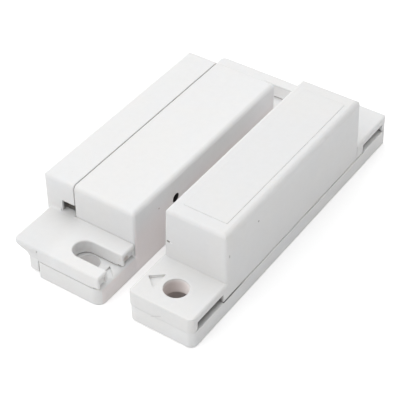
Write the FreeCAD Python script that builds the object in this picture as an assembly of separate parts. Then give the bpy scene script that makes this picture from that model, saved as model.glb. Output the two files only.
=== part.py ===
import FreeCAD, Part
import os
import math

V = FreeCAD.Vector

# ---------------------------------------------------------------------------
# Surface-mounted magnetic door contact: a switch half (left, with a slide-on
# terminal cover) and a magnet half (right, on a spacer), side by side.
# Millimetres. Row frame: origin at the middle of the footprint on the mounting
# surface, +Y along the housings, +X from the switch half to the magnet half,
# +Z away from the mounting surface.
# Each half is first drawn in its own frame, with Y from 0 to LENGTH:
#   switch half: X = 0 at the face that looks at the magnet, going negative
#   magnet half: X = 0 at the face that looks at the switch, going positive
# ---------------------------------------------------------------------------

# --- driving dimensions ----------------------------------------------------
LENGTH = 64.25           # switch half, over the ears
M_LENGTH = 64.5          # magnet half, over the ears
GAP = 5.15               # between the two halves
SET_BACK = 0.75          # the switch half lies this much nearer along Y

# switch housing
S_W = 12.65              # block, across
S_EAR_X0 = -13.05        # left side of the base ears
S_EAR = 10.1             # ear, along Y
S_H = 13.2               # block height
S_BASE = 3.6             # base ear thickness
S_ROUND = 0.9            # block edges along the top
S_CORNER = 0.6           # block corners seen in plan
S_WALL = 1.3
S_EAR_ROUND = 1.1        # rounded outer top edge of the base ears
S_EAR_CORNER = 1.7       # and their outer corner in plan
S_HOLE_R = 1.95          # mounting holes
S_HOLE_X = -5.8
S_HOLE_Y = 4.6
PEEP_R = 0.95            # small round hole in the face towards the magnet
PEEP_Y, PEEP_Z = 22.0, 8.3
SHELF_X = -17.6          # terminal shelf, under the cover
SHELF_Z = 5.6
SHELF_END = 1.6          # from the block's end to the shelf's end

# terminal cover
C_X0 = -19.1             # outer left face of the box
C_ROUND = 0.35           # its top edge along the left
C_PLAN = 0.4             # its corners seen in plan
C_X1 = -12.8             # its edge beside the block
C_WALL = 1.2
C_Z0 = 1.3               # lower edge of the box
C_EAR_TOP = 6.45         # top of the forked ears
C_EAR_X0 = -18.2         # left edge of the forked ears
C_TINE_X1 = -0.12        # ends of the tines
C_TINE_END = 1.0         # wall that closes the hollow at the tines' ends
C_SINK = 0.45            # sink in the tines' end faces
C_TINE_CORNER = 0.4      # end corner beside the block, in plan
C_LIFT = (0.28, 1.2)     # gap under the near tines' tips: more height, depth
C_PLATE = 0.9            # plate thickness where it overhangs
C_SHELL = 1.0            # plate thickness over the hollow underside
C_RIM = 0.75             # rim walls of the forked ears
C_RIM_Z0 = 3.8           # underside of the rims, just above the base ears
C_CORNER = 1.0           # rounded outer corner of the ear in plan
SLOT_W = 4.15            # fork slot
SLOT_X = -6.4            # centre of its round end
LEG_X0 = -15.0           # leg that hugs the edge of the base ear
LEG_Z0 = 0.95
LEG_BACK = 0.22          # the leg stands back from the ear's end face
LEG_CLEAR = 0.12         # between the leg and the base ear
# underside of the overhanging tip, from its edge down to the leg (x, z)
TIP_UNDER = ((-18.2, 5.4), (-15.45, 4.45), (-15.0, 3.75))
ENTRY_X0 = -15.5         # wire entry in the end wall
ENTRY_TOP = 8.8

# terminals
T_X, T_Y = -15.2, 18.3   # screw position
T_PLATE = 0.8
T_TAIL_Y = 14.9
T_TAIL_W = 2.2

# reed switch
R_X, R_Z = -4.6, 6.75    # axis
GLASS_R = 1.25
GLASS_LEN = 20.0
GLASS_WALL = 0.32
LEAD_R = 0.3
BLADE_W, BLADE_T = 1.3, 0.25
BLADE_LAP = 2.0
BLADE_GAP = 0.05

# magnet housing
M_W = 12.8               # across the ears
M_EAR = 10.1             # near ear, along Y
M_EAR_FAR = 10.7         # far ear
M_SPACER = 3.4           # spacer thickness
M_TOP = 16.4             # top of the block
M_EAR_TOP = 6.45
M_IN = (0.03, 0.42)      # right side of the block set in from the ear: bottom, top (draft)
M_IN_LEFT = (0.20, 0.38) # left side
M_DRAFT_Y = 0.3          # draft on the end faces over the height
M_ROUND = 0.75           # top edges
M_ROUND_RIGHT = 1.1      # top edge along the right
M_CORNER = 0.5
M_PLATE_Z = 5.15         # underside of the ear plates
M_LEG = 1.5              # end wall of the ears
M_LEG_ROUND = 0.55       # inner lower edge of the end wall
M_SIDE = 1.2             # side wall of the ears towards the switch
M_SLOT_END = 8.9         # inner end of the open side slots
M_EAR_ROUND = 0.45       # top edges of the ears along the sides
M_EAR_END = 0.24         # and along their ends
M_EAR_CORNER = (1.1, 0.7)   # corners of the ears in plan: near end, far end
M_HOLE_R = 2.22
M_HOLE_Y = 4.8
M_BOSS_R = 3.3
M_WALL = 1.4
PANEL_IN = (2.15, 13.0, 13.6)   # raised panel on top, set in from the sides, near end, far end
PANEL_UP = 0.05
SP_OVER = 0.1            # spacer stands out by this on the far side from the switch
SP_UNDER = 0.12          # and stands back by this on the side towards it
SP_CORNER = (1.25, 0.65) # corners in plan: near end, far end
SP_HOLE_R = 2.0
SP_SINK_R = 2.9          # wider upper part of the spacer's holes
SP_SINK_Z = 1.2
SP_SEAM = (0.17, 0.4)    # shadow gap along the top of the long sides: high, deep

# arrow marks
ARROW_H = 2.2            # along X
ARROW_HALF = 1.8
ARROW_DEEP = 0.35        # in the base ears
M_ARROW_DEEP = 0.5       # in the magnet housing's ears
S_ARROW_Y, M_ARROW_Y = 4.1, 4.65

# magnet
MAG = (6.4, 38.1, 6.4)   # across, along, high
MAG_Z0 = 5.2

MID = LENGTH / 2.0
M_MID = M_LENGTH / 2.0
X_S = -(GAP + abs(C_X0) + M_W + SP_OVER) / 2.0 + abs(C_X0)   # switch frame in the row frame
X_M = X_S + GAP                                               # magnet frame in the row frame
Y_S = -(M_LENGTH + SET_BACK) / 2.0
Y_M = Y_S + SET_BACK


# --- helpers -----------------------------------------------------------------
def box(x0, x1, y0, y1, z0, z1):
    return Part.makeBox(x1 - x0, y1 - y0, z1 - z0, V(x0, y0, z0))


def cyl(x, y, z, r, h, d=(0, 0, 1)):
    return Part.makeCylinder(r, h, V(x, y, z), V(*d))


def prism(points, vec):
    """Closed polygon extruded along a vector."""
    pts = [V(*p) for p in points]
    wire = Part.makePolygon(pts + [pts[0]])
    return Part.Face(wire).extrude(V(*vec))


def mid_of(e):
    return e.valueAt((e.FirstParameter + e.LastParameter) / 2.0)


def pick(shape, test):
    """Edges whose two ends and middle all pass the test."""
    out = []
    for e in shape.Edges:
        pts = [v.Point for v in e.Vertexes] + [mid_of(e)]
        if all(test(p) for p in pts):
            out.append(e)
    return out


def near(a, b, tol=1e-4):
    return abs(a - b) < tol


def rounded(shape, r, test):
    edges = pick(shape, test)
    if not edges:
        raise ValueError("no edge to round")
    return shape.makeFillet(r, edges)


def rounded_plan(shape, r, test):
    """Round the upright edges that pass the test."""
    edges = [e for e in pick(shape, test)
             if near(e.Vertexes[0].Point.x, e.Vertexes[-1].Point.x)
             and near(e.Vertexes[0].Point.y, e.Vertexes[-1].Point.y)]
    if not edges:
        raise ValueError("no upright edge to round")
    return shape.makeFillet(r, edges)


def mirror_y(shape, mid=MID):
    return shape.mirror(V(0, mid, 0), V(0, 1, 0))


def clean(shape):
    shape = shape.removeSplitter()
    if shape.ShapeType == "Compound" and len(shape.Solids) == 1:
        shape = shape.Solids[0]
    return shape


def drafted(x0, x1, y0, y1, z0, z1, dx0, dx1, dy):
    """Block whose sides lean in over its height: dx0 left, dx1 right, dy at both ends."""
    w = Part.makeWedge(x0, z0, -y1, -(y1 - dy), x0 + dx0, x1, z1, -y0, -(y0 + dy), x1 - dx1)
    w.rotate(V(0, 0, 0), V(1, 0, 0), 90)
    return w


def round_off(edge, top, lean, r, along, side, a, b):
    """What is cut away to round a block's top edge. edge: where the leaning side
    meets the top, lean: its slope, side: +1 or -1, along: "y" or "x", from a to b."""
    t = math.atan(lean)
    c = edge + side * (r * math.tan(t) - r / math.cos(t))
    zc = top - r
    k = r + 1.0
    pts = [(c, zc), (c + side * k * math.cos(t), zc + k * math.sin(t)),
           (c + side * (r + 1.5), top + 1), (c, top + 1)]
    if along == "y":
        blk = prism([(u, a, w) for u, w in pts], (0, b - a, 0))
        return blk.cut(cyl(c, a - 1, zc, r, b - a + 2, (0, 1, 0)))
    blk = prism([(a, u, w) for u, w in pts], (b - a, 0, 0))
    return blk.cut(cyl(a - 1, c, zc, r, b - a + 2, (1, 0, 0)))


def arrow(x_tip, y, z, direction, deep):
    """Triangular recess that points along X; z is the face it is sunk into."""
    xb = x_tip - direction * ARROW_H
    return prism([(x_tip, y, z - deep), (xb, y + ARROW_HALF, z - deep),
                  (xb, y - ARROW_HALF, z - deep)], (0, 0, 2.0))


nodes = {}


# --- switch housing ------------------------------------------------------------
def switch_housing():
    y0, y1 = S_EAR, LENGTH - S_EAR
    body = box(-S_W, 0, y0, y1, 0, S_H)
    body = rounded(body, S_CORNER, lambda p: near(p.x, 0) and (near(p.y, y0) or near(p.y, y1)))
    # top edges at both ends and along the face towards the magnet
    tops = [e for e in body.Edges
            if all(near(v.Point.z, S_H) for v in e.Vertexes) and not
            all(near(v.Point.x, -S_W) for v in e.Vertexes)]
    body = body.makeFillet(S_ROUND, tops)
    # slightly broken edge all round the face that meets the cover
    left = [e for e in body.Edges
            if all(near(v.Point.x, -S_W) for v in e.Vertexes) and near(mid_of(e).x, -S_W)
            and mid_of(e).z > 0.01]
    body = body.makeFillet(0.18, left)

    # base ear: rounded in plan, and along the outer top edge
    ear = box(-S_W, 0, 0, y0 + 1.4, 0, S_BASE)
    ear = clean(ear.fuse(box(S_EAR_X0, -S_W + 1, 0, y0 - 0.1, 0, S_BASE)))
    ear = rounded(ear, S_EAR_CORNER, lambda p: near(p.x, 0) and near(p.y, 0))
    ear = rounded(ear, 0.45, lambda p: near(p.x, S_EAR_X0) and near(p.y, 0))
    ear = ear.makeFillet(0.15, [e for e in ear.Edges
                                if all(near(v.Point.z, S_BASE) for v in e.Vertexes)
                                and near(mid_of(e).y, 0)])
    r = S_EAR_ROUND
    over = box(-r, 1, -1, y0 + 3, S_BASE - r, S_BASE + 1)
    ear = ear.cut(over.cut(cyl(-r, -2, S_BASE - r, r, y0 + 6, (0, 1, 0))))
    shape = body.fuse([ear, mirror_y(ear)])

    # terminal shelf under the cover
    s0, s1 = y0 + SHELF_END, y1 - SHELF_END
    shelf = box(SHELF_X, -S_W + 1.0, s0, s1, 0, SHELF_Z)
    shelf = rounded(shelf, 0.5, lambda p: near(p.x, SHELF_X) and (near(p.y, s0) or near(p.y, s1)))
    # fence between the two terminals
    fence = box(SHELF_X + 0.8, -S_W + 0.5, MID - 0.6, MID + 0.6, SHELF_Z - 0.5, SHELF_Z + 3.2)
    shape = shape.fuse([shelf, fence])
    shape = clean(shape)

    # potting cavity, open at the back
    cav = box(-S_W + S_WALL, -S_WALL, y0 + S_WALL, y1 - S_WALL, -1, S_H - S_WALL)
    cav = rounded(cav, 0.5, lambda p: (near(p.x, -S_W + S_WALL) or near(p.x, -S_WALL))
                  and (near(p.y, y0 + S_WALL) or near(p.y, y1 - S_WALL)))
    cuts = [cav]
    cuts.append(cyl(-S_WALL - 0.6, PEEP_Y, PEEP_Z, PEEP_R, S_WALL + 2, (1, 0, 0)))
    for yt, yh, yscr in ((T_TAIL_Y, S_HOLE_Y, T_Y),
                         (LENGTH - T_TAIL_Y, LENGTH - S_HOLE_Y, LENGTH - T_Y)):
        # passage for the terminal tail, screw pilot in the shelf, mounting hole
        cuts.append(box(-S_W - 0.3, -S_W + S_WALL + 0.3, yt - T_TAIL_W / 2 - 0.05,
                        yt + T_TAIL_W / 2 + 0.05, SHELF_Z, SHELF_Z + T_PLATE + 0.05))
        cuts.append(cyl(T_X, yscr, 1.2, 1.3, SHELF_Z))
        cuts.append(cyl(S_HOLE_X, yh, -1, S_HOLE_R, S_BASE + 2))
    cuts.append(arrow(-0.15, S_ARROW_Y, S_BASE, 1, ARROW_DEEP))
    cuts.append(arrow(-0.15, LENGTH - S_ARROW_Y, S_BASE, 1, ARROW_DEEP))
    shape = shape.cut(Part.makeCompound(cuts))
    # the cavity is kept for the potting
    inner = cav.common(box(-50, 50, -10, 100, 0.6, 50))
    return clean(shape), inner


# --- terminal cover ---------------------------------------------------------------
def fork_ear(lift):
    """Forked ear at the near end, with its leg; hollow underneath."""
    edge_y = S_EAR - 0.02
    # plate with rounded outer corner
    left = box(C_EAR_X0, C_X1, 0, S_EAR + 0.6, C_EAR_TOP - C_PLATE, C_EAR_TOP)
    left = rounded(left, C_CORNER, lambda p: near(p.x, C_EAR_X0) and near(p.y, 0))
    fork = box(S_EAR_X0 - 0.03, C_TINE_X1, 0, edge_y, C_RIM_Z0, C_EAR_TOP)
    fork = rounded(fork, 0.35, lambda p: near(p.x, C_TINE_X1) and near(p.y, 0))
    plate = clean(left.fuse(fork))
    slot = box(SLOT_X, 5, S_HOLE_Y - SLOT_W / 2, S_HOLE_Y + SLOT_W / 2, 0, 20)
    slot = slot.fuse(cyl(SLOT_X, S_HOLE_Y, 0, SLOT_W / 2, 20))
    plate = plate.cut(slot)
    # soft edges along the top outline, sharper ones round the slot
    def outer(e):
        p = mid_of(e)
        if not all(near(v.Point.z, C_EAR_TOP) for v in e.Vertexes):
            return False
        in_slot = abs(p.y - S_HOLE_Y) < SLOT_W / 2 + 0.01 and p.x > SLOT_X - SLOT_W / 2 - 0.01 and p.x < C_TINE_X1 - 0.01
        return (not in_slot) and p.y < S_EAR + 0.3 and not (p.x < C_X1 and near(p.y, edge_y))
    top = [e for e in plate.Edges if outer(e) and not near(mid_of(e).y, edge_y)
           and not near(mid_of(e).y, S_EAR + 0.6)]
    plate = plate.makeFillet(0.4, top)
    slot_edges = [e for e in plate.Edges
                  if all(near(v.Point.z, C_EAR_TOP) for v in e.Vertexes)
                  and abs(mid_of(e).y - S_HOLE_Y) < SLOT_W / 2 + 0.01
                  and mid_of(e).x < C_TINE_X1 - 0.5]
    if slot_edges:
        plate = plate.makeFillet(0.25, slot_edges)
    # corner of the tine beside the block, which keeps a sharp top edge along the block
    c = C_TINE_CORNER
    corner = box(C_TINE_X1 - c, C_TINE_X1 + 1, edge_y - c, edge_y + 1, 0, 20)
    plate = plate.cut(corner.cut(cyl(C_TINE_X1 - c, edge_y - c, -1, c, 22)))
    # hollow underside, closed at the tines' ends, which have a sink each
    z1 = C_EAR_TOP - C_SHELL
    ny0, ny1 = C_RIM, S_HOLE_Y - SLOT_W / 2 - C_RIM
    fy0, fy1 = S_HOLE_Y + SLOT_W / 2 + C_RIM, edge_y - C_RIM
    root_x1 = SLOT_X - SLOT_W / 2 - C_RIM
    tip = C_TINE_X1
    hollows = [box(root_x1 - 0.5, tip - C_TINE_END, ny0, ny1, 0, z1),
               box(root_x1 - 0.5, tip - C_TINE_END, fy0, fy1, 0, z1),
               box(C_X1 + C_RIM, root_x1, ny0, fy1, 0, z1)]
    for ya, yb in ((0, S_HOLE_Y - SLOT_W / 2), (S_HOLE_Y + SLOT_W / 2, edge_y)):
        hollows.append(box(tip - C_SINK, tip + 1, ya + 0.45, yb - 0.4, 0, C_EAR_TOP - 0.75))
        if lift:
            # the tips stand a little higher off the base ear
            high, deep = lift
            hollows.append(box(tip - deep, tip + 1, ya - 0.1, yb + 0.1, C_RIM_Z0 - 0.01, C_RIM_Z0 + high))
    # upright groove where the fork meets the leg
    hollows.append(box(S_EAR_X0 - LEG_CLEAR, S_EAR_X0 + 0.03, -1, 0.5, 0, C_EAR_TOP - 0.5))
    plate = plate.cut(hollows[0].fuse(hollows[1:]))
    # leg beside the base ear, which widens into the overhanging plate
    zp = C_EAR_TOP - C_PLATE
    leg = box(LEG_X0, S_EAR_X0 - LEG_CLEAR, LEG_BACK, S_EAR + 0.4, LEG_Z0, zp + 0.6)
    leg = rounded(leg, 0.5, lambda p: near(p.x, LEG_X0) and near(p.z, LEG_Z0))
    (xt, zt), (xm, zm), (xl, zl) = TIP_UNDER
    wedge = prism([(xt + 0.12, LEG_BACK, zt), (xm, LEG_BACK, zm), (xl, LEG_BACK, zl),
                   (xl + 0.3, LEG_BACK, zl), (xl + 0.3, LEG_BACK, zp + 0.1), (xt + 0.12, LEG_BACK, zp + 0.1)],
                  (0, S_EAR + 0.4 - LEG_BACK, 0))
    wedge = rounded_plan(wedge, C_CORNER - LEG_BACK, lambda p: near(p.x, xt + 0.12) and near(p.y, LEG_BACK))
    return [plate, leg, wedge]


def terminal_cover():
    y0, y1 = S_EAR, LENGTH - S_EAR
    # a small round along the left, larger ones at both ends, small ones in plan
    outer = box(C_X0, C_X1, y0 - 1, y1 + 1, C_Z0, S_H)
    outer = rounded(outer, C_ROUND, lambda p: near(p.x, C_X0) and near(p.z, S_H))
    ends = box(C_X0 - 1, C_X1 + 1, y0, y1, C_Z0 - 1, S_H)
    ends = rounded(ends, S_ROUND, lambda p: near(p.z, S_H) and (near(p.y, y0) or near(p.y, y1)))
    plan = box(C_X0, C_X1 + 1, y0, y1, C_Z0 - 2, S_H + 2)
    plan = rounded_plan(plan, C_PLAN, lambda p: near(p.x, C_X0))
    outer = outer.common(ends).common(plan)
    rim = [e for e in outer.Edges
           if all(near(v.Point.x, C_X1) for v in e.Vertexes) and near(mid_of(e).x, C_X1)
           and mid_of(e).z > C_Z0 + 0.01]
    outer = outer.makeFillet(0.18, rim)
    inner = box(C_X0 + C_WALL, C_X1 + 2, y0 + C_WALL, y1 - C_WALL, C_Z0 - 2, S_H - C_WALL)
    inner = rounded(inner, 0.4, lambda p: near(p.x, C_X0 + C_WALL)
                    and (near(p.y, y0 + C_WALL) or near(p.y, y1 - C_WALL)))
    parts = fork_ear(C_LIFT)
    # small cove where the ear runs into the end wall
    cv = box(C_EAR_X0 + 0.3, ENTRY_X0 - 0.25, y0 - 0.5, y0 + 0.05, C_EAR_TOP - 0.02, C_EAR_TOP + 0.5)
    cv = cv.cut(cyl(C_EAR_X0 - 1, y0 - 0.5, C_EAR_TOP + 0.5, 0.5, 10, (1, 0, 0)))
    parts.append(cv)
    far = [mirror_y(p) for p in fork_ear(None) + [cv]]
    shape = outer.fuse(parts + far)
    shape = clean(shape)
    entry = box(ENTRY_X0, C_X1 + 1, y0 - 0.3, y0 + C_WALL + 0.3, C_EAR_TOP, ENTRY_TOP)
    entry = rounded(entry, 0.3, lambda p: near(p.x, ENTRY_X0) and near(p.z, ENTRY_TOP))
    # the end wall is thin round the wire entry
    thin = box(ENTRY_X0 - 0.6, C_X1 + 2, y0 + 0.5, y0 + C_WALL + 0.3, C_EAR_TOP + 0.02, ENTRY_TOP + 0.6)
    shape = shape.cut(inner.fuse([entry, thin]))
    return clean(shape)


# --- terminals -------------------------------------------------------------------
def terminal_plate():
    z0, z1 = SHELF_Z, SHELF_Z + T_PLATE
    plate = box(T_X - 2.15, T_X + 2.15, T_TAIL_Y - 1.6, T_Y + 3.0, z0, z1)
    plate = rounded_plan(plate, 0.4, lambda p: near(p.x, T_X - 2.15))
    tail = box(T_X + 2.0, -S_W + S_WALL + 1.4, T_TAIL_Y - T_TAIL_W / 2, T_TAIL_Y + T_TAIL_W / 2, z0, z1)
    tail = rounded_plan(tail, 0.5, lambda p: near(p.x, -S_W + S_WALL + 1.4))
    shape = clean(plate.fuse(tail))
    return shape.cut(cyl(T_X, T_Y, z0 - 1, 1.25, 3))


def wire_clamp():
    z0 = SHELF_Z + T_PLATE
    c = box(T_X - 2.1, T_X + 2.1, T_Y - 2.1, T_Y + 2.1, z0, z0 + 0.7)
    c = rounded(c, 0.3, lambda p: abs(abs(p.x - T_X) - 2.1) < 1e-4 and abs(abs(p.y - T_Y) - 2.1) < 1e-4)
    return c.cut(cyl(T_X, T_Y, z0 - 1, 1.4, 3))


def terminal_screw():
    z0 = SHELF_Z + T_PLATE + 0.7
    head = cyl(T_X, T_Y, z0, 2.1, 1.5)
    head = head.makeFillet(0.55, [e for e in head.Edges if near(mid_of(e).z, z0 + 1.5)
                                  and e.Curve.TypeId == "Part::GeomCircle"])
    shank = cyl(T_X, T_Y, 1.9, 1.2, z0 - 1.9 + 0.1)
    shank = shank.makeChamfer(0.35, [e for e in shank.Edges if near(mid_of(e).z, 1.9)
                                     and e.Curve.TypeId == "Part::GeomCircle"])
    s = clean(head.fuse(shank))
    cross = box(T_X - 1.6, T_X + 1.6, T_Y - 0.28, T_Y + 0.28, z0 + 0.85, z0 + 3)
    cross = cross.fuse(box(T_X - 0.28, T_X + 0.28, T_Y - 1.6, T_Y + 1.6, z0 + 0.85, z0 + 3))
    return s.cut(cross)


# --- reed switch --------------------------------------------------------------------
LEAD_TURN = 1.0
LEAD_END_X = -S_W + S_WALL + 0.5


def reed_glass():
    """Glass tube with both ends drawn down onto the leads."""
    h = GLASS_LEN / 2.0
    ri = GLASS_R - GLASS_WALL
    # half section in the (radius, y) plane, from the lead outwards
    p = [(LEAD_R, -h + 0.35), (LEAD_R, -h + 1.9), (ri, -h + 2.9), (ri, h - 2.9), (LEAD_R, h - 1.9),
         (LEAD_R, h - 0.35), (0.85, h), (GLASS_R, h - 1.0), (GLASS_R, -h + 1.0), (0.85, -h)]
    pts = [V(R_X + r, MID + y, R_Z) for r, y in p]
    face = Part.Face(Part.makePolygon(pts + [pts[0]]))
    return face.revolve(V(R_X, 0, R_Z), V(0, 1, 0), 360)


def reed_blade():
    """Near reed: flat contact blade inside the glass, round lead outside."""
    h = GLASS_LEN / 2.0
    y_glass = MID - h
    y_turn = T_TAIL_Y + LEAD_TURN
    blade_y1 = MID + BLADE_LAP / 2.0
    # contact blade, just below the axis
    z1 = R_Z - BLADE_GAP / 2.0
    blade = box(R_X - BLADE_W / 2, R_X + BLADE_W / 2, y_glass + 3.2, blade_y1, z1 - BLADE_T, z1)
    # lead: straight, one bend, straight to the terminal tail
    a = Part.LineSegment(V(R_X, y_glass + 3.6, R_Z), V(R_X, y_turn, R_Z)).toShape()
    c = V(R_X - LEAD_TURN, y_turn, R_Z)
    m = V(c.x + LEAD_TURN * math.cos(math.pi / 4), c.y - LEAD_TURN * math.sin(math.pi / 4), R_Z)
    b = Part.Arc(V(R_X, y_turn, R_Z), m, V(c.x, T_TAIL_Y, R_Z)).toShape()
    d = Part.LineSegment(V(c.x, T_TAIL_Y, R_Z), V(LEAD_END_X, T_TAIL_Y, R_Z)).toShape()
    path = Part.Wire([a, b, d])
    ring = Part.Wire([Part.makeCircle(LEAD_R, V(R_X, y_glass + 3.6, R_Z), V(0, -1, 0))])
    lead = path.makePipeShell([ring], True, False)
    return clean(lead.fuse(blade))


def solder_joint(lead):
    z0 = SHELF_Z + T_PLATE
    x = -S_W + S_WALL + 0.75
    s = cyl(x, T_TAIL_Y, z0, 0.75, 0.95)
    s = s.makeFillet(0.4, [e for e in s.Edges if near(mid_of(e).z, z0 + 0.95)
                           and e.Curve.TypeId == "Part::GeomCircle"])
    return s.cut(lead)


# --- magnet housing -----------------------------------------------------------------
def magnet_ear(y0, corner):
    """Ear at the near end: end wall, wall towards the switch, plate open at the
    other side, boss round the hole. y0 is where the block begins."""
    z0, end = M_SPACER, y0 + 0.45
    ear = box(0, M_W, 0, end, z0, M_EAR_TOP)
    ear = rounded(ear, corner, lambda p: near(p.y, 0) and (near(p.x, 0) or near(p.x, M_W)))
    for off in (round_off(0, M_EAR_TOP, 0, M_EAR_ROUND, "y", -1, -2, end + 2),
                round_off(M_W, M_EAR_TOP, 0, M_EAR_ROUND, "y", 1, -2, end + 2),
                round_off(0, M_EAR_TOP, 0, M_EAR_END, "x", -1, -2, M_W + 2)):
        ear = ear.cut(off)
    under = box(M_SIDE, M_W + 1, M_LEG, M_SLOT_END, z0 - 1, M_PLATE_Z)
    under = rounded(under, 0.2, lambda p: near(p.z, M_PLATE_Z) and near(p.y, M_SLOT_END))
    r = M_LEG_ROUND
    toe = box(M_SIDE, M_W + 1, M_LEG - r, M_LEG + 0.01, z0 - 1, z0 + r)
    under = under.fuse(toe.cut(cyl(-2, M_LEG - r, z0 + r, r, M_W + 4, (1, 0, 0))))
    boss = cyl(M_W / 2, M_HOLE_Y, z0 - 2, M_BOSS_R, 5)
    return ear.cut(under.cut(boss))


def magnet_housing():
    y0, y1 = M_EAR, M_LENGTH - M_EAR_FAR
    z0 = M_SPACER
    high = M_TOP - z0
    # block with draft on all four sides
    dx0, dx1 = M_IN_LEFT[1] - M_IN_LEFT[0], M_IN[1] - M_IN[0]
    body = drafted(M_IN_LEFT[0], M_W - M_IN[0], y0 - 0.07, y1 + 0.07, z0, M_TOP, dx0, dx1, M_DRAFT_Y)
    ups = [e for e in body.Edges if abs(e.Vertexes[0].Point.z - e.Vertexes[-1].Point.z) > 5]
    body = body.makeFillet(M_CORNER, ups)
    ly = M_DRAFT_Y / high
    for off in (round_off(M_IN_LEFT[1], M_TOP, dx0 / high, M_ROUND, "y", -1, 0, M_LENGTH),
                round_off(M_W - M_IN[1], M_TOP, dx1 / high, M_ROUND_RIGHT, "y", 1, 0, M_LENGTH),
                round_off(y0 - 0.07 + M_DRAFT_Y, M_TOP, ly, M_ROUND, "x", -1, -5, M_W + 5),
                round_off(y1 + 0.07 - M_DRAFT_Y, M_TOP, ly, M_ROUND, "x", 1, -5, M_W + 5)):
        body = body.cut(off)

    shape = clean(body.fuse([magnet_ear(y0, M_EAR_CORNER[0]), mirror_y(magnet_ear(M_EAR_FAR, M_EAR_CORNER[1]), M_MID)]))

    # hollow for the magnet, with ribs, and a rebate for the back plate
    cx0, cx1 = M_IN_LEFT[0] + M_WALL, M_W - M_IN[0] - M_WALL - 0.1
    cy0, cy1 = y0 + M_WALL, y1 - M_WALL
    cav = box(cx0, cx1, cy0, cy1, z0 - 1, M_TOP - M_WALL)
    cav = rounded(cav, 0.4, lambda p: (near(p.x, cx0) or near(p.x, cx1)) and (near(p.y, cy0) or near(p.y, cy1)))
    mx0, mx1 = M_W / 2 - MAG[0] / 2, M_W / 2 + MAG[0] / 2
    my0, my1 = M_MID - MAG[1] / 2, M_MID + MAG[1] / 2
    mz1 = MAG_Z0 + MAG[2]
    ribs = []
    for yr in (M_MID - 13.5, M_MID, M_MID + 13.5):
        r = box(cx0 - 0.2, cx1 + 0.2, yr - 0.5, yr + 0.5, z0 + 1.0, M_TOP - M_WALL + 0.2)
        ribs.append(r.cut(box(mx0 - 0.03, mx1 + 0.03, yr - 2, yr + 2, z0 - 1, mz1)))
    for ya, yb in ((cy0 - 0.2, my0 - 0.05), (my1 + 0.05, cy1 + 0.2)):
        ribs.append(box(M_W / 2 - 0.5, M_W / 2 + 0.5, ya, yb, z0 + 1.0, mz1 + 1.0))
    cav = cav.cut(ribs[0].fuse(ribs[1:]))
    rebate = box(cx0 - 0.45, cx1 + 0.45, cy0 - 0.45, cy1 + 0.45, z0 - 1, z0 + 1.0)
    cuts = [cav.fuse(rebate)]
    for yh in (M_HOLE_Y, M_LENGTH - M_HOLE_Y):
        cuts.append(cyl(M_W / 2, yh, z0 - 1, M_HOLE_R, 6))
    cuts.append(arrow(0.95, M_ARROW_Y, M_EAR_TOP, -1, M_ARROW_DEEP))
    cuts.append(arrow(0.95, M_LENGTH - M_ARROW_Y, M_EAR_TOP, -1, M_ARROW_DEEP))
    # bare panel on top, standing out by a hair
    px, pa, pb = PANEL_IN
    panel = box(px, M_W - px, pa, M_LENGTH - pb, M_TOP - 0.3, M_TOP + PANEL_UP)
    panel = rounded(panel, 0.3, lambda p: (near(p.x, px) or near(p.x, M_W - px))
                    and (near(p.y, pa) or near(p.y, M_LENGTH - pb)))
    shape = clean(shape.fuse(panel))
    shape = shape.cut(Part.makeCompound(cuts))
    return clean(shape), (cx0, cx1, cy0, cy1)


def magnet_back_plate(c):
    cx0, cx1, cy0, cy1 = c
    g = 0.4
    p = box(cx0 - g, cx1 + g, cy0 - g, cy1 + g, M_SPACER + 0.05, M_SPACER + 1.0)
    return rounded(p, 0.2, lambda q: (near(q.x, cx0 - g) or near(q.x, cx1 + g))
                   and (near(q.y, cy0 - g) or near(q.y, cy1 + g)))


def bar_magnet():
    x0 = M_W / 2 - MAG[0] / 2
    m = box(x0, x0 + MAG[0], M_MID - MAG[1] / 2, M_MID + MAG[1] / 2, MAG_Z0, MAG_Z0 + MAG[2])
    return m.makeChamfer(0.3, m.Edges)


def magnet_cushion():
    return box(M_W / 2 - 2.9, M_W / 2 + 2.9, M_MID - 17.5, M_MID + 17.5, M_SPACER + 1.0, MAG_Z0)


def magnet_spacer():
    x0, x1, y1 = SP_UNDER, M_W + SP_OVER, M_LENGTH
    s = box(x0, x1, 0, y1, 0, M_SPACER)
    s = rounded(s, SP_CORNER[0], lambda p: (near(p.x, x0) or near(p.x, x1)) and near(p.y, 0))
    s = rounded(s, SP_CORNER[1], lambda p: (near(p.x, x0) or near(p.x, x1)) and near(p.y, y1))
    rim = [e for e in s.Edges if all(near(v.Point.z, M_SPACER) for v in e.Vertexes)]
    s = s.makeFillet(0.06, rim)
    low = [e for e in s.Edges if all(near(v.Point.z, 0) for v in e.Vertexes)]
    s = s.makeChamfer(0.15, low)
    # cored from behind, with two cross ribs
    pocket = box(1.3, M_W - 1.3, 10.5, y1 - 10.5, -1, M_SPACER - 1.2)
    pocket = rounded(pocket, 0.6, lambda p: (near(p.x, 1.3) or near(p.x, M_W - 1.3))
                     and (near(p.y, 10.5) or near(p.y, y1 - 10.5)))
    for yr in (M_MID - 7.2, M_MID + 7.2):
        pocket = pocket.cut(box(0, M_W, yr - 0.6, yr + 0.6, -2, M_SPACER))
    cuts = [pocket]
    for yh in (M_HOLE_Y, y1 - M_HOLE_Y):
        cuts.append(cyl(M_W / 2, yh, -1, SP_HOLE_R, M_SPACER + 2))
        cuts.append(cyl(M_W / 2, yh, SP_SINK_Z, SP_SINK_R, M_SPACER))
    # thin shadow gap along both long sides, between the ears' slots
    high, deep = SP_SEAM
    for xa, xb in ((-1, x0 + deep), (x1 - deep, x1 + 1)):
        cuts.append(box(xa, xb, M_SLOT_END - 0.1, y1 - M_SLOT_END + 0.1, M_SPACER - high, M_SPACER + 1))
    return s.cut(Part.makeCompound(cuts))


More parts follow.
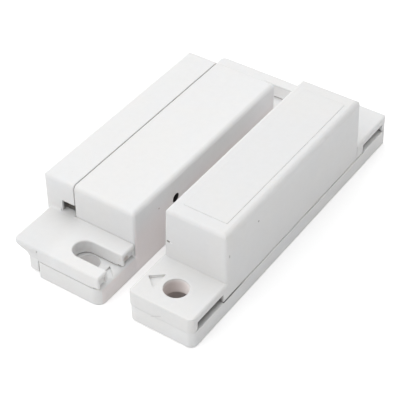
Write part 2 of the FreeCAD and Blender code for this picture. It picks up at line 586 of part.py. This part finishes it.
# --- assemble -------------------------------------------------------------------------
def build():
    s_parts, m_parts = {}, {}
    housing, potting = switch_housing()
    s_parts["switch_housing"] = housing
    s_parts["terminal_cover"] = terminal_cover()

    plate = terminal_plate()
    s_parts["terminal_plate_near"] = plate
    s_parts["terminal_plate_far"] = mirror_y(plate)
    clamp = wire_clamp()
    s_parts["wire_clamps"] = Part.makeCompound([clamp, mirror_y(clamp)])
    screw = terminal_screw()
    s_parts["terminal_screws"] = Part.makeCompound([screw, mirror_y(screw)])

    glass = reed_glass()
    blade = reed_blade()
    # far reed: the near one turned half a turn about the vertical line through
    # the middle of the glass, then its lead brought to the same side
    blade_far = mirror_y(blade).mirror(V(0, 0, R_Z), V(0, 0, 1))
    s_parts["reed_glass"] = glass
    s_parts["reed_blade_near"] = blade
    s_parts["reed_blade_far"] = blade_far
    sol = solder_joint(blade)
    sol_far = mirror_y(solder_joint(blade))
    s_parts["solder_joints"] = Part.makeCompound([sol, sol_far])

    h = GLASS_LEN / 2.0
    prof = [(0, -h), (0.85, -h), (GLASS_R, -h + 1.0), (GLASS_R, h - 1.0), (0.85, h), (0, h)]
    pts = [V(R_X + r, MID + y, R_Z) for r, y in prof]
    full_glass = Part.Face(Part.makePolygon(pts + [pts[0]])).revolve(V(R_X, 0, R_Z), V(0, 1, 0), 360)
    inside = [full_glass, blade, blade_far, plate, mirror_y(plate), sol, sol_far]
    potting = potting.cut(inside[0].fuse(inside[1:]))
    s_parts["potting_compound"] = clean(potting)

    mh, c = magnet_housing()
    m_parts["magnet_housing"] = mh
    m_parts["magnet_back_plate"] = magnet_back_plate(c)
    m_parts["bar_magnet"] = bar_magnet()
    m_parts["magnet_cushion"] = magnet_cushion()
    m_parts["magnet_spacer"] = magnet_spacer()

    for name, s in s_parts.items():
        s = s.copy()
        s.translate(V(X_S, Y_S, 0))
        nodes[name] = s
    for name, s in m_parts.items():
        s = s.copy()
        s.translate(V(X_M, Y_M, 0))
        nodes[name] = s


build()
os.makedirs("parts", exist_ok=True)
for name, s in nodes.items():
    s.exportStep(os.path.join("parts", name + ".step"))
    bb = s.BoundBox
    print("%-20s solids %d valid %s vol %.2f  x %.2f..%.2f y %.2f..%.2f z %.2f..%.2f" % (
        name, len(s.Solids), s.isValid(), s.Volume, bb.XMin, bb.XMax, bb.YMin, bb.YMax, bb.ZMin, bb.ZMax))
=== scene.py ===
import math

import bpy
from mathutils import Matrix, Vector

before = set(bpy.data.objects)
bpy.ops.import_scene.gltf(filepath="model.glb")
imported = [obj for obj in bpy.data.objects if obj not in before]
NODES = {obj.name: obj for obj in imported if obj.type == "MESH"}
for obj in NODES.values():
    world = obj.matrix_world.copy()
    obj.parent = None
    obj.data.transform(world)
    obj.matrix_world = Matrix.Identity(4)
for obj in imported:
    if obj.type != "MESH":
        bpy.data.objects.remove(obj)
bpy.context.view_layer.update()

MM = 0.001
scene = bpy.context.scene


# ---------------------------------------------------------------- camera

RIGHT = Vector((0.826662, 0.562692, -0.002809)).normalized()
FORWARD = Vector((-0.425539, 0.621885, -0.657401)).normalized()
RIGHT = (RIGHT - FORWARD * RIGHT.dot(FORWARD)).normalized()
UP = RIGHT.cross(FORWARD)

cam_data = bpy.data.cameras.new("camera")
cam_data.sensor_fit = "HORIZONTAL"
cam_data.sensor_width = 36.0
cam_data.lens = 115.973
cam_data.clip_start = 0.01
cam_data.clip_end = 20.0
cam = bpy.data.objects.new("camera", cam_data)
scene.collection.objects.link(cam)
turn = Matrix((RIGHT, UP, -FORWARD)).transposed()
cam.matrix_world = Matrix.Translation(Vector((98.35, -146.328, 153.679)) * MM) @ turn.to_4x4()
scene.camera = cam

scene.view_settings.view_transform = "Standard"
scene.view_settings.look = "None"
scene.view_settings.exposure = 0.0
scene.view_settings.gamma = 1.0


# ---------------------------------------------------------------- small node helpers

class Tree:
    """Builds one material or world node tree with few words."""

    def __init__(self, tree):
        self.tree = tree
        tree.nodes.clear()

    def new(self, kind, **props):
        node = self.tree.nodes.new(kind)
        for key, value in props.items():
            setattr(node, key, value)
        return node

    def join(self, out, into):
        self.tree.links.new(out, into)

    def put(self, socket, value):
        if isinstance(value, bpy.types.NodeSocket):
            self.join(value, socket)
        else:
            socket.default_value = value

    def math(self, op, a, b=0.0, c=0.0, clamp=False):
        node = self.new("ShaderNodeMath", operation=op, use_clamp=clamp)
        for i, v in enumerate((a, b, c)):
            self.put(node.inputs[i], v)
        return node.outputs[0]

    def vec(self, op, a, b=None, scale=None):
        node = self.new("ShaderNodeVectorMath", operation=op)
        self.put(node.inputs[0], a)
        if b is not None:
            self.put(node.inputs[1], b)
        if scale is not None:
            self.put(node.inputs["Scale"], scale)
        return node.outputs["Value"] if op in ("DISTANCE", "LENGTH", "DOT_PRODUCT") else node.outputs["Vector"]

    def noise(self, at, scale, detail=2.0, rough=0.5, warp=0.0):
        node = self.new("ShaderNodeTexNoise", noise_dimensions="3D")
        self.put(node.inputs["Vector"], at)
        node.inputs["Scale"].default_value = scale
        node.inputs["Detail"].default_value = detail
        node.inputs["Roughness"].default_value = rough
        node.inputs["Distortion"].default_value = warp
        return node.outputs["Fac"]

    def band(self, value, lo, hi, out0=0.0, out1=1.0, smooth=True):
        node = self.new("ShaderNodeMapRange", interpolation_type="SMOOTHSTEP" if smooth else "LINEAR")
        node.clamp = True
        self.put(node.inputs["Value"], value)
        node.inputs["From Min"].default_value = lo
        node.inputs["From Max"].default_value = hi
        node.inputs["To Min"].default_value = out0
        node.inputs["To Max"].default_value = out1
        return node.outputs["Result"]

    def mix(self, fac, a, b, how="MIX"):
        node = self.new("ShaderNodeMix", data_type="RGBA", blend_type=how)
        self.put(node.inputs[0], fac)
        self.put(node.inputs[6], a)
        self.put(node.inputs[7], b)
        return node.outputs[2]


def rgb(r, g, b):
    return (r, g, b, 1.0)


def material(name):
    mat = bpy.data.materials.new(name)
    mat.use_nodes = True
    t = Tree(mat.node_tree)
    out = t.new("ShaderNodeOutputMaterial")
    bsdf = t.new("ShaderNodeBsdfPrincipled")
    t.join(bsdf.outputs[0], out.inputs["Surface"])
    place = t.new("ShaderNodeTexCoord").outputs["Object"]
    at = t.vec("SCALE", place, scale=1000.0)          # millimetres in the row frame, riding with the piece
    return mat, t, bsdf, at


# ---------------------------------------------------------------- moulded plastic

def mark(t, at, a, b, radius):
    """1 inside a small irregular spot or stroke from a to b, in mm."""
    a, b = Vector(a), Vector(b)
    along = b - a
    rel = t.vec("SUBTRACT", at, tuple(a))
    if along.length > 1e-4:
        k = t.math("MULTIPLY", t.vec("DOT_PRODUCT", rel, tuple(along)), 1.0 / along.length_squared, clamp=True)
        rel = t.vec("SUBTRACT", rel, t.vec("SCALE", tuple(along), scale=k))
    far = t.vec("LENGTH", rel)
    ragged = t.math("MULTIPLY_ADD", t.noise(at, 5.0, 3.0), radius * 1.1, -radius * 0.55)
    return t.band(t.math("SUBTRACT", far, ragged), radius * 0.6, radius * 1.25, 1.0, 0.0)


def zone(t, at, low, high, soft_low, soft_high):
    """1 inside a box in mm, fading to 0 over the soft width inside each of its six sides."""
    split = t.new("ShaderNodeSeparateXYZ")
    t.join(at, split.inputs[0])
    inside = None
    for i in range(3):
        for edge, soft, up in ((low[i], soft_low[i], True), (high[i], soft_high[i], False)):
            if up:
                part = t.band(split.outputs[i], edge, edge + soft, 0.0, 1.0)
            else:
                part = t.band(split.outputs[i], edge - soft, edge, 1.0, 0.0)
            inside = part if inside is None else t.math("MULTIPLY", inside, part)
    return inside


def white_plastic(name, tone=(0.800, 0.800, 0.799), marks=(), zones=(), painted_glow=(), seed=0.0, rough=0.40):
    mat, t, bsdf, at = material(name)
    moved = t.vec("ADD", at, (seed, seed * 0.7, seed * 1.3))
    # colour: broad faint flow marks between a warmer and a cooler tint, and finer mottle
    flow = t.noise(moved, 0.055, 3.0, 0.55, 1.2)
    mottle = t.noise(moved, 0.9, 4.0, 0.6)
    warm = tuple(c * k for c, k in zip(tone, (1.0, 0.996, 0.989)))
    cool = tuple(c * k for c, k in zip(tone, (0.990, 0.994, 1.0)))
    colour = t.mix(t.band(flow, 0.36, 0.64), rgb(*warm), rgb(*cool))
    shade = t.band(mottle, 0.30, 0.70, 0.986, 1.008, smooth=False)
    grey = t.new("ShaderNodeCombineColor")
    for i in range(3):
        t.put(grey.inputs[i], shade)
    colour = t.mix(1.0, colour, grey.outputs[0], "MULTIPLY")
    # painted shade: a brownish darkening in seams and inside corners, from ambient occlusion broken up by noise
    ao = t.new("ShaderNodeAmbientOcclusion", samples=6, only_local=False)
    ao.inputs["Distance"].default_value = 0.9 * MM
    painted_crease_shade = t.band(ao.outputs["AO"], 0.05, 0.45, 1.0, 0.0)
    painted_crease_shade = t.math("MULTIPLY", painted_crease_shade, t.band(t.noise(moved, 0.6, 3.0), 0.25, 0.75, 0.35, 0.8))
    colour = t.mix(painted_crease_shade, colour, rgb(0.44, 0.385, 0.35))
    # dust: very sparse small grains
    cells = t.new("ShaderNodeTexVoronoi", feature="F1", distance="EUCLIDEAN")
    t.put(cells.inputs["Vector"], moved)
    cells.inputs["Scale"].default_value = 0.42
    parts = t.new("ShaderNodeSeparateColor")
    t.join(cells.outputs["Color"], parts.inputs[0])
    chosen = t.math("GREATER_THAN", parts.outputs[0], 0.90)
    size = t.math("MULTIPLY_ADD", parts.outputs[1], 0.030, 0.018)
    grain = t.math("LESS_THAN", cells.outputs["Distance"], size)
    dust = t.math("MULTIPLY", t.math("MULTIPLY", chosen, grain), 0.30)
    colour = t.mix(dust, colour, rgb(0.36, 0.30, 0.25))
    # painted shade in gaps, grooves, holes and under the ears, and some settled dirt, as the zone tables give
    for low, high, soft_low, soft_high, tint, weight in zones:
        dirt_and_shade_amount = t.math("MULTIPLY", zone(t, at, low, high, soft_low, soft_high), weight)
        colour = t.mix(dirt_and_shade_amount, colour, rgb(*tint))
    for a, b, radius, tint, weight in marks:
        spot = t.math("MULTIPLY", mark(t, at, a, b, radius), weight)
        colour = t.mix(spot, colour, rgb(*tint))
    # painted light: emission that lightens the listed zones, such as lit hole walls and the face in the gap
    painted_glow_strength = 0.0
    for low, high, soft_low, soft_high, tint, weight in painted_glow:
        bsdf.inputs["Emission Color"].default_value = rgb(*tint)
        part = t.math("MULTIPLY", zone(t, at, low, high, soft_low, soft_high), weight)
        painted_glow_strength = t.math("ADD", part, painted_glow_strength)
    if painted_glow:
        t.put(bsdf.inputs["Emission Strength"], painted_glow_strength)
    # painted highlight: sharp edges lightened in colour, with a lower roughness there
    bevel = t.new("ShaderNodeBevel", samples=6)
    bevel.inputs["Radius"].default_value = 0.16 * MM
    true_normal = t.new("ShaderNodeNewGeometry").outputs["True Normal"]
    turn_ = t.vec("DOT_PRODUCT", bevel.outputs[0], true_normal)
    edge = t.band(turn_, 0.80, 0.97, 1.0, 0.0)
    t.put(bsdf.inputs["Base Color"], t.mix(t.math("MULTIPLY", edge, 0.35), colour, rgb(0.86, 0.86, 0.858)))
    r = t.band(t.noise(moved, 0.22, 4.0, 0.6), 0.3, 0.7, rough - 0.05, rough + 0.06, smooth=False)
    r = t.math("SUBTRACT", r, t.math("MULTIPLY", edge, 0.08))
    t.put(bsdf.inputs["Roughness"], r)
    bsdf.inputs["IOR"].default_value = 1.52
    bsdf.inputs["Subsurface Weight"].default_value = 0.12
    bsdf.inputs["Subsurface Radius"].default_value = (1.2, 1.0, 0.85)
    bsdf.inputs["Subsurface Scale"].default_value = 0.6 * MM
    # surface: fine spark-eroded grain over a very slight moulded waviness
    grain_h = t.noise(moved, 7.5, 3.0, 0.65)
    wave_h = t.noise(moved, 0.13, 2.0, 0.5)
    b1 = t.new("ShaderNodeBump")
    b1.inputs["Strength"].default_value = 1.0
    b1.inputs["Distance"].default_value = 0.055 * MM
    t.put(b1.inputs["Height"], wave_h)
    t.join(bevel.outputs[0], b1.inputs["Normal"])
    b2 = t.new("ShaderNodeBump")
    b2.inputs["Strength"].default_value = 0.55
    b2.inputs["Distance"].default_value = 0.008 * MM
    t.put(b2.inputs["Height"], grain_h)
    t.join(b1.outputs[0], b2.inputs["Normal"])
    t.join(b2.outputs[0], bsdf.inputs["Normal"])
    return mat


# ---------------------------------------------------------------- metals, resin, glass, foam

def metal(name, colour, dark, rough, grain=(1.0, 1.0, 1.0), grain_scale=3.0, bump=0.004, tarnish=0.35):
    mat, t, bsdf, at = material(name)
    stretched = t.vec("MULTIPLY", at, grain)
    streak = t.noise(stretched, grain_scale, 5.0, 0.65)
    blotch = t.noise(at, 0.8, 4.0, 0.6, 0.8)
    c = t.mix(t.band(blotch, 0.42, 0.70, 0.0, tarnish), rgb(*colour), rgb(*dark))
    c = t.mix(t.band(streak, 0.35, 0.75, 0.0, 0.30), c, rgb(*[min(1.0, x * 1.12) for x in colour]))
    t.put(bsdf.inputs["Base Color"], c)
    bsdf.inputs["Metallic"].default_value = 1.0
    t.put(bsdf.inputs["Roughness"], t.band(streak, 0.3, 0.7, rough - 0.06, rough + 0.10, smooth=False))
    bevel = t.new("ShaderNodeBevel", samples=4)
    bevel.inputs["Radius"].default_value = 0.07 * MM
    b = t.new("ShaderNodeBump")
    b.inputs["Strength"].default_value = 0.7
    b.inputs["Distance"].default_value = bump * MM
    t.put(b.inputs["Height"], streak)
    t.join(bevel.outputs[0], b.inputs["Normal"])
    t.join(b.outputs[0], bsdf.inputs["Normal"])
    return mat


def resin():
    mat, t, bsdf, at = material("cast_resin")
    cloud = t.noise(at, 0.5, 4.0, 0.6, 0.6)
    c = t.mix(t.band(cloud, 0.35, 0.7), rgb(0.010, 0.009, 0.009), rgb(0.022, 0.020, 0.018))
    bubbles = t.new("ShaderNodeTexVoronoi", feature="F1")
    t.put(bubbles.inputs["Vector"], at)
    bubbles.inputs["Scale"].default_value = 1.7
    pit = t.band(bubbles.outputs["Distance"], 0.05, 0.16, 0.0, 1.0)
    t.put(bsdf.inputs["Base Color"], c)
    t.put(bsdf.inputs["Roughness"], t.band(cloud, 0.3, 0.7, 0.45, 0.62))
    bsdf.inputs["IOR"].default_value = 1.45
    b = t.new("ShaderNodeBump")
    b.inputs["Strength"].default_value = 0.6
    b.inputs["Distance"].default_value = 0.05 * MM
    t.put(b.inputs["Height"], t.math("ADD", pit, t.math("MULTIPLY", cloud, 1.5)))
    t.join(b.outputs[0], bsdf.inputs["Normal"])
    return mat


def glass():
    mat, t, bsdf, at = material("capsule_glass")
    streak = t.noise(t.vec("MULTIPLY", at, (3.0, 0.15, 3.0)), 1.2, 3.0)
    t.put(bsdf.inputs["Base Color"], t.mix(streak, rgb(0.70, 0.88, 0.76), rgb(0.80, 0.93, 0.84)))
    t.put(bsdf.inputs["Roughness"], t.band(streak, 0.3, 0.7, 0.02, 0.07))
    bsdf.inputs["Transmission Weight"].default_value = 0.9
    bsdf.inputs["IOR"].default_value = 1.5
    b = t.new("ShaderNodeBump")
    b.inputs["Strength"].default_value = 0.3
    b.inputs["Distance"].default_value = 0.02 * MM
    t.put(b.inputs["Height"], streak)
    t.join(b.outputs[0], bsdf.inputs["Normal"])
    return mat


def magnet():
    mat, t, bsdf, at = material("sintered_magnet")
    grit = t.noise(at, 5.0, 6.0, 0.75)
    cloud = t.noise(at, 0.35, 3.0)
    c = t.mix(t.band(grit, 0.3, 0.75), rgb(0.035, 0.035, 0.037), rgb(0.085, 0.083, 0.082))
    c = t.mix(t.band(cloud, 0.5, 0.8, 0.0, 0.4), c, rgb(0.12, 0.10, 0.085))
    t.put(bsdf.inputs["Base Color"], c)
    bsdf.inputs["Metallic"].default_value = 0.35
    t.put(bsdf.inputs["Roughness"], t.band(grit, 0.3, 0.7, 0.55, 0.8))
    b = t.new("ShaderNodeBump")
    b.inputs["Strength"].default_value = 0.8
    b.inputs["Distance"].default_value = 0.03 * MM
    t.put(b.inputs["Height"], grit)
    t.join(b.outputs[0], bsdf.inputs["Normal"])
    return mat


def foam():
    mat, t, bsdf, at = material("closed_cell_foam")
    cells = t.new("ShaderNodeTexVoronoi", feature="DISTANCE_TO_EDGE")
    t.put(cells.inputs["Vector"], at)
    cells.inputs["Scale"].default_value = 3.0
    wall = t.band(cells.outputs["Distance"], 0.02, 0.22)
    t.put(bsdf.inputs["Base Color"], t.mix(wall, rgb(0.10, 0.10, 0.105), rgb(0.035, 0.035, 0.038)))
    t.put(bsdf.inputs["Roughness"], t.band(wall, 0.0, 1.0, 0.75, 0.95))
    b = t.new("ShaderNodeBump", invert=True)
    b.inputs["Strength"].default_value = 0.8
    b.inputs["Distance"].default_value = 0.12 * MM
    t.put(b.inputs["Height"], wall)
    t.join(b.outputs[0], bsdf.inputs["Normal"])
    return mat


# the first two tints serve real specks and painted shade alike
DIRT_AND_SHADE = (0.10, 0.085, 0.075)
GREY = (0.30, 0.29, 0.28)
BROWN_DIRT_AND_SHADE = (0.28, 0.18, 0.12)
PALE = (0.92, 0.92, 0.92)

# tints for painted shade in holes, gaps and under the ears
SHADE_BLACK = (0.012, 0.009, 0.008)
WARM_SHADE = (0.34, 0.235, 0.20)

# small nicks, smudges and a scratch, and on the cover painted shade: from, to, radius (mm in the row frame), tint,
# weight
SWITCH_MARKS = (((0.525, -15.70, 9.55), (0.525, -15.55, 9.45), 0.16, BROWN_DIRT_AND_SHADE, 0.45),)
COVER_SHADE_MARKS = (
    # painted shade: the brown hollow in the far tine's end
    ((-0.05, -25.20, 5.40), (-0.05, -24.55, 4.30), 0.70, BROWN_DIRT_AND_SHADE, 0.50),
    # painted shade: the dark gap under the near tine's end
    ((-0.05, -32.00, 3.95), (-0.05, -31.75, 3.85), 0.26, DIRT_AND_SHADE, 0.60),
)
MAGNET_MARKS = (
    ((6.63, -21.70, 9.87), (6.88, -21.70, 9.83), 0.19, DIRT_AND_SHADE, 0.85),
    ((7.13, -21.70, 9.77), (7.47, -21.70, 9.70), 0.11, PALE, 0.80),
    ((18.20, -20.895, 12.02), (18.20, -20.855, 11.66), 0.15, GREY, 0.60),
    ((18.18, -12.225, 13.00), (18.18, -12.155, 12.92), 0.17, DIRT_AND_SHADE, 0.60),
    ((10.375, -31.875, 3.12), (12.225, -31.875, 4.15), 0.13, GREY, 0.22),
)

# painted shade, and on the cover some settled dirt: low corner, high corner, soft widths at both (mm in the row
# frame), tint, weight
SWITCH_SHADE_ZONES = (
    # painted shade: a dark line beside the tine
    ((-0.20, -22.54, 3.65), (0.56, -22.10, 6.3), (0.3, 0.05, 0.1), (0.02, 0.2, 0.5), DIRT_AND_SHADE, 0.12),              # beside the tine
    # the face in the gap, painted shade in a warm tint
    ((0.30, -33.5, -1.0), (0.70, 22.6, 12.0), (0.05, 1.0, 0.5), (0.05, 1.0, 6.0), (0.80, 0.60, 0.58), 0.22),
    # painted shade: the sight hole's inside near black
    ((-1.2, -11.8, 7.1), (0.42, -9.4, 9.5), (0.1, 0.1, 0.1), (0.12, 0.1, 0.1), SHADE_BLACK, 0.97),   # sight hole
)
SWITCH_PAINTED_GLOW = (
    # painted light: the base ear round the near hole, and the face in the gap, lightened by emission
    ((-8.0, -30.5, -1.0), (-2.4, -25.5, 3.5), (0.5, 0.5, 0.5), (0.5, 0.5, 0.3), (1.0, 0.93, 0.91), 0.055),
    ((0.30, -23.0, -1.0), (0.70, 22.5, 12.0), (0.05, 1.0, 0.5), (0.05, 1.0, 6.0), (1.0, 0.955, 0.945), 0.055),
    ((0.30, 8.0, 3.0), (0.70, 22.5, 13.5), (0.05, 12.0, 4.0), (0.05, 0.5, 1.0), (1.0, 0.90, 0.88), 0.02),
)
COVER_SHADE_AND_DIRT_ZONES = (
    # groove between the fork and the leg, painted shade
    ((-12.72, -32.80, 3.7), (-12.44, -31.9, 5.96), (0.08, 0.02, 0.1), (0.08, 0.1, 0.3), DIRT_AND_SHADE, 0.55),
    # painted shade: dark line where the far tine of the near ear meets the block
    ((-0.10, -22.86, 3.7), (0.42, -22.40, 6.15), (0.2, 0.12, 0.1), (0.02, 0.02, 0.3), DIRT_AND_SHADE, 0.35),
    # handling, on the ear's free end
    ((-18.7, -33.0, 3.7), (-9.0, -22.9, 6.6), (0.5, 0.5, 0.2), (3.5, 0.3, 0.1), DIRT_AND_SHADE, 0.06),
)
COVER_PAINTED_GLOW = (
    # painted light: the far ear's fork lightened by emission
    ((-9.0, 22.0, 3.0), (0.6, 31.0, 6.3), (0.5, 0.5, 0.3), (0.1, 0.5, 0.3), (1.0, 0.97, 0.96), 0.13),
)
MAGNET_SHADE_ZONES = (
    # painted shade under the ears, open at the side, clear of the holes
    ((14.9, -31.2, 3.0), (18.44, -21.0, 5.3), (0.4, 0.7, 0.1), (0.8, 0.5, 0.12), SHADE_BLACK, 0.85),
    ((14.9, 21.0, 3.0), (18.44, 31.95, 5.3), (0.4, 0.5, 0.1), (1.2, 0.7, 0.12), SHADE_BLACK, 0.40),
    # hole walls, painted shade on the side away from the light
    ((9.4, -29.6, 3.2), (14.8, -24.5, 6.5), (0.2, 0.2, 0.1), (4.8, 0.2, 1.2), WARM_SHADE, 0.50),
    ((9.4, 25.3, 3.2), (14.8, 30.4, 6.5), (0.2, 0.2, 0.1), (4.8, 0.2, 1.2), WARM_SHADE, 0.50),
)
MAGNET_PAINTED_GLOW = (
    # painted light: the near hole's walls lightened by emission, more towards the right wall
    ((9.4, -29.6, 3.2), (14.8, -24.5, 6.5), (4.5, 0.2, 0.5), (0.2, 0.2, 0.5), (1.0, 0.90, 0.87), 0.26),
    ((9.4, -29.6, 3.2), (14.8, -24.5, 6.5), (0.2, 0.2, 0.5), (0.2, 0.2, 0.5), (1.0, 0.90, 0.87), 0.05),
)
SPACER_SHADE_ZONES = (
    # painted shade under the ears, darker the deeper it lies
    ((15.4, -31.2, 3.2), (18.72, -21.5, 3.6), (0.3, 0.7, 0.1), (2.0, 0.5, 0.1), SHADE_BLACK, 0.80),
    ((15.4, 21.5, 3.2), (18.72, 31.95, 3.6), (0.3, 0.5, 0.1), (2.4, 0.7, 0.1), SHADE_BLACK, 0.40),
    # painted shade along the seam on the side away from the switch half
    ((17.9, -23.2, 3.215), (18.70, -13.0, 3.6), (0.1, 0.3, 0.01), (0.02, 9.0, 0.1), SHADE_BLACK, 0.80),
    # painted shade in the wider upper part of the near hole, and the hole below it
    ((8.8, -30.3, 1.15), (15.3, -23.9, 3.39), (0.1, 0.1, 0.05), (0.1, 0.1, 0.02), WARM_SHADE, 0.50),
    ((9.8, -29.3, 0.10), (14.3, -24.8, 1.25), (0.1, 0.1, 0.10), (0.1, 0.1, 0.10), SHADE_BLACK, 0.85),
)

MATERIALS = {
    "switch_housing": white_plastic("abs_switch", seed=3.0, marks=SWITCH_MARKS, zones=SWITCH_SHADE_ZONES,
                                    painted_glow=SWITCH_PAINTED_GLOW),
    "terminal_cover": white_plastic("abs_cover", seed=17.0, marks=COVER_SHADE_MARKS, zones=COVER_SHADE_AND_DIRT_ZONES, painted_glow=COVER_PAINTED_GLOW),
    "magnet_housing": white_plastic("abs_magnet", tone=(0.768, 0.768, 0.767), seed=31.0, marks=MAGNET_MARKS,
                                    zones=MAGNET_SHADE_ZONES, painted_glow=MAGNET_PAINTED_GLOW),
    "magnet_spacer": white_plastic("abs_spacer", tone=(0.792, 0.792, 0.790), seed=47.0, rough=0.44,
                                   marks=MAGNET_MARKS[-1:], zones=SPACER_SHADE_ZONES),
    "magnet_back_plate": white_plastic("abs_back_plate", tone=(0.792, 0.792, 0.790), seed=61.0, rough=0.44),
    "potting_compound": resin(),
    "reed_glass": glass(),
    "reed_blade_near": metal("nickel_iron", (0.62, 0.60, 0.56), (0.36, 0.34, 0.31), 0.30, (1.0, 0.12, 1.0)),
    "solder_joints": metal("solder", (0.72, 0.72, 0.73), (0.42, 0.42, 0.43), 0.28, grain_scale=1.4, bump=0.03),
    "terminal_plate_near": metal("stamped_brass", (0.80, 0.60, 0.28), (0.44, 0.29, 0.12), 0.28, (1.0, 0.08, 1.0), tarnish=0.45),
    "wire_clamps": metal("zinc_plate", (0.66, 0.665, 0.67), (0.44, 0.44, 0.43), 0.30, grain_scale=2.0, bump=0.008),
    "bar_magnet": magnet(),
    "magnet_cushion": foam(),
}
MATERIALS["reed_blade_far"] = MATERIALS["reed_blade_near"]
MATERIALS["terminal_plate_far"] = MATERIALS["terminal_plate_near"]
MATERIALS["terminal_screws"] = MATERIALS["wire_clamps"]

for name, obj in NODES.items():
    mat = MATERIALS[name]
    if not obj.data.materials:
        obj.data.materials.append(mat)
    for i in range(len(obj.material_slots)):
        obj.material_slots[i].material = mat


# ---------------------------------------------------------------- floor and light

def paper(name, lift, z):
    """A wide sheet of white background paper, with a plain glow that keeps it from greying."""
    mesh = bpy.data.meshes.new(name)
    mesh.from_pydata([Vector((-3, -3, z)), Vector((3, -3, z)), Vector((3, 3, z)), Vector((-3, 3, z))], [], [(0, 1, 2, 3)])
    obj = bpy.data.objects.new(name, mesh)
    scene.collection.objects.link(obj)
    mat, t, bsdf, at = material(name)
    fibre = t.noise(at, 0.02, 3.0)
    t.put(bsdf.inputs["Base Color"], t.mix(fibre, rgb(0.90, 0.90, 0.90), rgb(0.92, 0.92, 0.92)))
    bsdf.inputs["Roughness"].default_value = 0.9
    bsdf.inputs["Specular IOR Level"].default_value = 0.1
    bsdf.inputs["Emission Color"].default_value = rgb(1, 1, 1)
    bsdf.inputs["Emission Strength"].default_value = lift
    mesh.materials.append(mat)
    return obj


# The sheet that is seen is a little brighter than the one that lights the part from below.
floor = paper("floor", 0.27, -0.00002)
floor.visible_diffuse = floor.visible_glossy = floor.visible_transmission = floor.visible_shadow = False
bounce = paper("floor_bounce", 0.0, -0.0001)
bounce.visible_camera = False

# Soft boxes all round, as lobes of light on the world: azimuth 0 stands in front, 90 on the right.
LOBES = ((0, 90, 0.98), (0, 30, 0.92), (-45, 30, 0.07), (-90, 30, 1.13), (180, 30, 0.63), (135, 30, 0.31))
world = bpy.data.worlds.new("studio")
scene.world = world
world.use_nodes = True
w = Tree(world.node_tree)
out = w.new("ShaderNodeOutputWorld")
sky = w.new("ShaderNodeBackground")
w.join(sky.outputs[0], out.inputs["Surface"])
way = w.new("ShaderNodeTexCoord").outputs["Generated"]
level = 0.0
for azimuth, height, strength in LOBES:
    a, e = math.radians(azimuth), math.radians(height)
    towards = (math.sin(a) * math.cos(e), -math.cos(a) * math.cos(e), math.sin(e))
    lobe = w.band(w.vec("DOT_PRODUCT", way, towards), 0.55, 0.95, 0.0, strength)
    level = w.math("ADD", level, lobe)
w.put(sky.inputs["Strength"], level)
sky.inputs["Color"].default_value = rgb(1, 1, 1)
